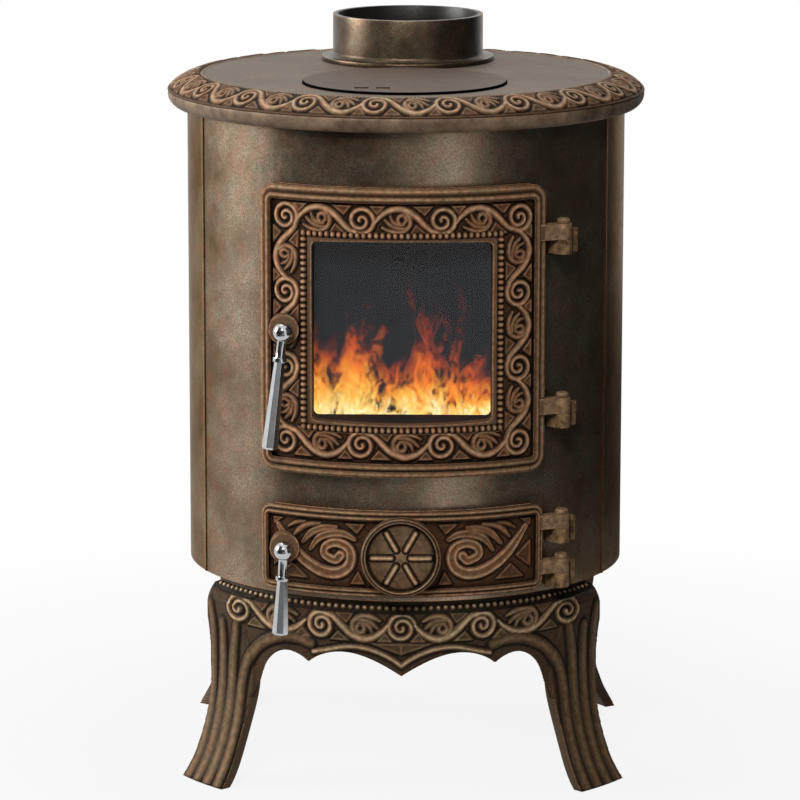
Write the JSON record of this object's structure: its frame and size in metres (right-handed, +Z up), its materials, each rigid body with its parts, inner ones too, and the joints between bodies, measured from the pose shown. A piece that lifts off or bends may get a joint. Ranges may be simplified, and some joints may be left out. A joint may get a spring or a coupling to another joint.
{
  "type": "wood stove",
  "caption": "Round cast-iron wood stove with an antique bronze finish, a glazed fire door, an ash door with a screw-in draft, splayed legs, a cooking lid and a rear flue collar.",
  "frame": {"origin": "on the floor, under the axis of the round body", "axes": "+Z up, -Y towards the doors, +X towards the hinges"},
  "size_m": [0.4594, 0.468, 0.7117],
  "materials": {
    "bronzed_cast_iron": "antique bronze over black, rubbed on the relief",
    "black_cast_iron": "matt",
    "chromed_steel": "polished",
    "stove_glass": "clear, smoke tinted",
    "glass_fibre_rope": "knitted rope",
    "firebrick": "rough",
    "sheet_steel": "matt",
    "plain_steel": "plain"
  },
  "bodies": {
    "stove": {"front_leg_frame": "bronzed_cast_iron", "rear_leg_frame": "bronzed_cast_iron", "base_plate": "black_cast_iron", "base_bolts": "plain_steel", "base_nuts": "plain_steel", "front_panel": "bronzed_cast_iron", "right_panel": "bronzed_cast_iron", "left_panel": "bronzed_cast_iron", "panel_bolts": "plain_steel", "panel_nuts": "plain_steel", "top_plate": "bronzed_cast_iron", "top_plate_bolts": "plain_steel", "flue_collar": "bronzed_cast_iron", "flue_collar_bolts": "plain_steel", "hearth_plate": "black_cast_iron", "fire_grate": "black_cast_iron", "log_guard": "black_cast_iron", "baffle_plate": "black_cast_iron", "ash_pan": "sheet_steel", "ash_pan_bail": "sheet_steel", "fire_door_hinge_pins": "bronzed_cast_iron", "ash_door_hinge_pins": "bronzed_cast_iron", "lining_brick_1": "firebrick", "lining_brick_2": "firebrick", "lining_brick_3": "firebrick", "lining_brick_4": "firebrick", "lining_brick_5": "firebrick", "lining_brick_6": "firebrick"},
    "fire_door": {"fire_door": "bronzed_cast_iron", "fire_door_seal": "glass_fibre_rope", "glass_gasket": "glass_fibre_rope", "door_glass": "stove_glass", "glass_clips": "plain_steel", "glass_clip_screws": "plain_steel"},
    "fire_door_handle": {"fire_door_handle": "chromed_steel", "fire_door_grip": "chromed_steel", "fire_door_latch_spacer": "plain_steel", "fire_door_latch_tongue": "plain_steel", "fire_door_latch_nut": "plain_steel"},
    "ash_door": {"ash_door": "bronzed_cast_iron", "ash_door_seal": "glass_fibre_rope"},
    "ash_door_handle": {"ash_door_handle": "chromed_steel", "ash_door_grip": "chromed_steel", "ash_door_latch_spacer": "plain_steel", "ash_door_latch_tongue": "plain_steel", "ash_door_latch_nut": "plain_steel"},
    "draft_stud": {"draft_stud": "plain_steel", "draft_stop_nut": "plain_steel"},
    "draft_disc": {"draft_disc": "bronzed_cast_iron"},
    "cooking_lid": {"cooking_lid": "bronzed_cast_iron"}
  },
  "joints": [
    {"name": "fire_door_hinge", "type": "hinge", "parent": "stove", "child": "fire_door", "pos_m": [0.14975, -0.16926, 0.45], "axis": [0, 0, 1], "range_deg": [0, 115]},
    {"name": "fire_handle_turn", "type": "hinge", "parent": "fire_door", "child": "fire_door_handle", "pos_m": [-0.10998, -0.215, 0.45006], "axis": [0, 1, 0], "range_deg": [0, 90]},
    {"name": "ash_door_hinge", "type": "hinge", "parent": "stove", "child": "ash_door", "pos_m": [0.14975, -0.16926, 0.24], "axis": [0, 0, 1], "range_deg": [0, 115]},
    {"name": "ash_handle_turn", "type": "hinge", "parent": "ash_door", "child": "ash_door_handle", "pos_m": [-0.10998, -0.215, 0.24202], "axis": [0, 1, 0], "range_deg": [0, 90]},
    {"name": "draft_travel", "type": "slide", "parent": "ash_door", "child": "draft_stud", "axis": [0, -1, 0], "range_m": [0, 0.0091]},
    {"name": "draft_turn", "type": "hinge", "parent": "draft_stud", "child": "draft_disc", "pos_m": [0, -0.23, 0.2408], "axis": [0, -1, 0], "range_deg": [0, 1080]},
    {"name": "lid_lift", "type": "slide", "parent": "stove", "child": "cooking_lid", "axis": [0, 0, 1], "range_m": [0, 0.08]}
  ],
  "couplings": [
    {"joint": "draft_travel", "follows": "draft_turn", "m_per_rad": 0.00047746}
  ]
}
